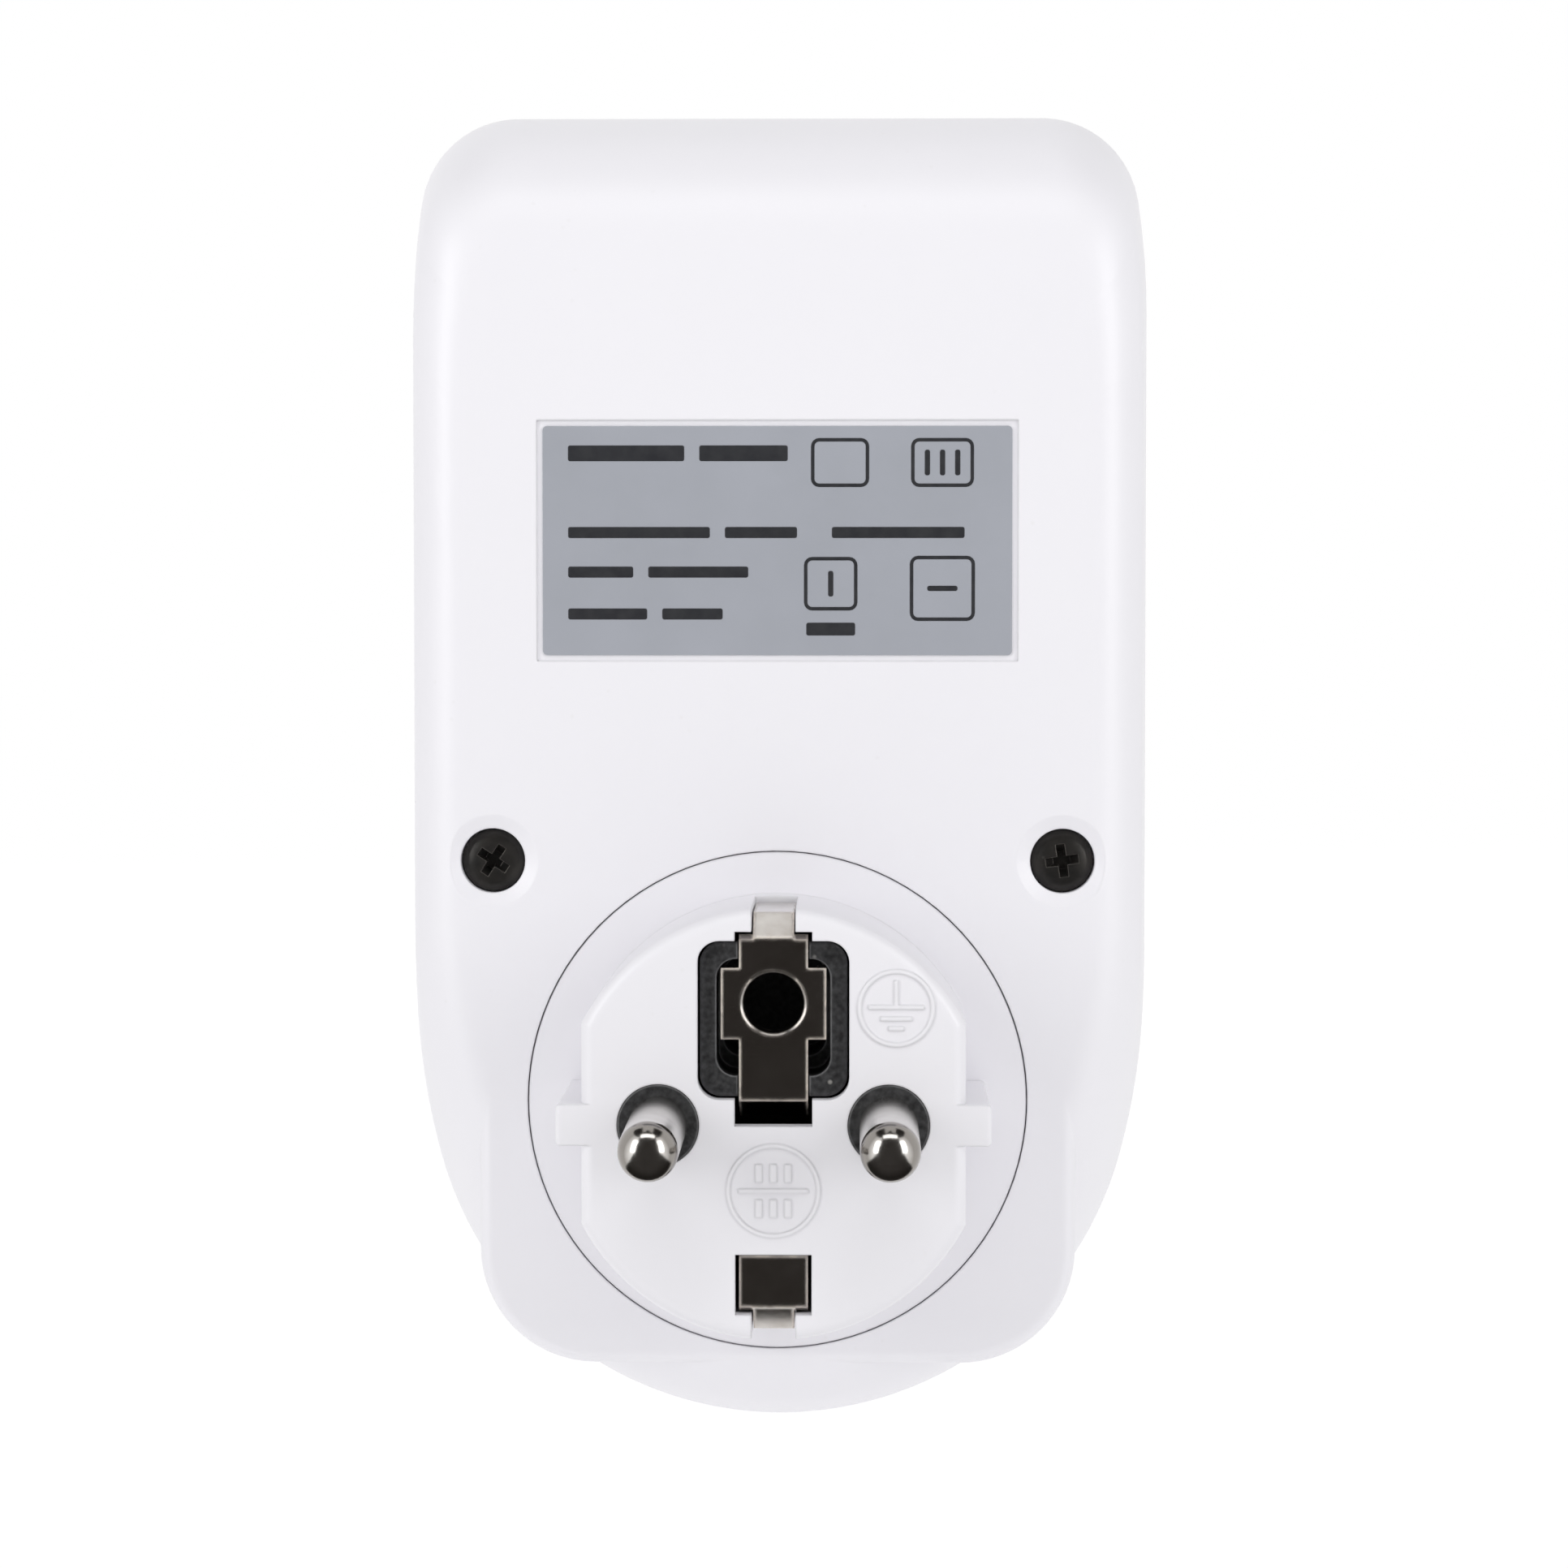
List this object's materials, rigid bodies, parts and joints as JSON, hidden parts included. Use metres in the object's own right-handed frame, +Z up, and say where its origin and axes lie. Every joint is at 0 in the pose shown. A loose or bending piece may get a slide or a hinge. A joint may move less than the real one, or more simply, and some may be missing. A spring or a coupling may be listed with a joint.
{
  "type": "plug in timer switch",
  "caption": "Plug-in digital timer switch: white casing with a round earthed plug behind, and a display, push buttons and shuttered socket in front.",
  "frame": {"origin": "on the plug's axis, in the flat rear face of the casing that lies against the wall", "axes": "+Y out of the rear face along the plug pins, +Z up, +X to the right as seen from the front; the display and the socket face -Y"},
  "size_m": [0.066, 0.0782, 0.1158],
  "materials": {
    "white_housing": "satin moulded ABS, fine grain",
    "label_silver": "satin silver-grey film",
    "black_plastic": "black moulded nylon",
    "nickel": "nickel plate",
    "earth_strip": "tarnished plated bronze",
    "screw_black": "black oxide",
    "screw_steel": "zinc plate",
    "brass_bar": "rolled brass",
    "contact_base_grey": "moulded polyamide",
    "shutter_grey": "moulded acetal",
    "spring_steel": "drawn wire",
    "display_window": "clear acrylic",
    "display_glass": "grey-green liquid crystal glass",
    "connector_rubber": "striped silicone",
    "board_green": "solder mask",
    "chip_black": "moulded epoxy",
    "cell_steel": "polished nickel steel",
    "header_white": "moulded nylon",
    "lamp_red": "tinted epoxy",
    "button_grey": "satin ABS",
    "switch_black": "moulded nylon",
    "relay_blue": "moulded case",
    "film_red": "dipped epoxy",
    "can_black": "shrink sleeve",
    "varistor_blue": "dipped epoxy",
    "fuse_green": "lacquered ceramic",
    "ribbon_grey": "vinyl ribbon"
  },
  "bodies": {
    "root": {"rear_housing": "white_housing", "front_housing": "white_housing", "plug_cover": "white_housing", "socket_insert": "white_housing", "housing_screws": "screw_black", "rating_label": "label_silver", "pin_carrier": "black_plastic", "line_pin": "nickel", "neutral_pin": "nickel", "upper_earth_clip": "earth_strip", "lower_earth_clip": "earth_strip", "plug_screws": "screw_steel", "insert_screws": "screw_steel", "control_board_screws": "screw_steel", "power_board_screws": "screw_steel", "earth_bar": "brass_bar", "line_in_bar": "brass_bar", "line_out_bar": "brass_bar", "neutral_bar": "brass_bar", "line_contact": "brass_bar", "neutral_contact": "brass_bar", "contact_base": "contact_base_grey", "socket_upper_earth_clip": "nickel", "socket_lower_earth_clip": "nickel", "display_window": "display_window", "lcd_glass": "display_glass", "lcd_frame": "header_white", "lcd_connectors": "connector_rubber", "control_board": "board_green", "power_board": "board_green", "controller_chip": "chip_black", "regulator": "chip_black", "rectifier_diodes": "chip_black", "crystal": "cell_steel", "backup_cell": "cell_steel", "control_header": "header_white", "power_header": "header_white", "indicator_led": "lamp_red", "tact_switches": "switch_black", "relay": "relay_blue", "film_capacitor": "film_red", "electrolytic_capacitor": "can_black", "varistor": "varistor_blue", "fuse": "fuse_green", "ribbon_cable": "ribbon_grey"},
    "clock_button_body": {"clock_button": "button_grey"},
    "timer_button_body": {"timer_button": "button_grey"},
    "day_button_body": {"day_button": "button_grey"},
    "hour_button_body": {"hour_button": "button_grey"},
    "mode_button_body": {"mode_button": "button_grey"},
    "random_button_body": {"random_button": "button_grey"},
    "recall_button_body": {"recall_button": "button_grey"},
    "minute_button_body": {"minute_button": "button_grey"},
    "reset_button_body": {"reset_button": "button_grey"},
    "shutter_body": {"shutter": "shutter_grey", "shutter_spring": "spring_steel"}
  },
  "joints": [
    {"name": "clock_button_press", "type": "slide", "parent": "root", "child": "clock_button_body", "axis": [0, 1, 0], "range_m": [0, 0.0008], "stiffness_N_per_m": 800, "springref_m": -0.0002},
    {"name": "timer_button_press", "type": "slide", "parent": "root", "child": "timer_button_body", "axis": [0, 1, 0], "range_m": [0, 0.0008], "stiffness_N_per_m": 800, "springref_m": -0.0002},
    {"name": "day_button_press", "type": "slide", "parent": "root", "child": "day_button_body", "axis": [0, 1, 0], "range_m": [0, 0.0008], "stiffness_N_per_m": 800, "springref_m": -0.0002},
    {"name": "hour_button_press", "type": "slide", "parent": "root", "child": "hour_button_body", "axis": [0, 1, 0], "range_m": [0, 0.0008], "stiffness_N_per_m": 800, "springref_m": -0.0002},
    {"name": "mode_button_press", "type": "slide", "parent": "root", "child": "mode_button_body", "axis": [0, 1, 0], "range_m": [0, 0.0008], "stiffness_N_per_m": 800, "springref_m": -0.0002},
    {"name": "random_button_press", "type": "slide", "parent": "root", "child": "random_button_body", "axis": [0, 1, 0], "range_m": [0, 0.0008], "stiffness_N_per_m": 800, "springref_m": -0.0002},
    {"name": "recall_button_press", "type": "slide", "parent": "root", "child": "recall_button_body", "axis": [0, 1, 0], "range_m": [0, 0.0008], "stiffness_N_per_m": 800, "springref_m": -0.0002},
    {"name": "minute_button_press", "type": "slide", "parent": "root", "child": "minute_button_body", "axis": [0, 1, 0], "range_m": [0, 0.0008], "stiffness_N_per_m": 800, "springref_m": -0.0002},
    {"name": "reset_button_press", "type": "slide", "parent": "root", "child": "reset_button_body", "axis": [0, 1, 0], "range_m": [0, 0.0008], "stiffness_N_per_m": 800, "springref_m": -0.0002},
    {"name": "shutter_turn", "type": "hinge", "parent": "root", "child": "shutter_body", "pos_m": [0, -0.02055, 0], "axis": [0, 1, 0], "range_deg": [0, 40], "stiffness_Nm_per_rad": 0.02, "springref_deg": -5.73}
  ]
}
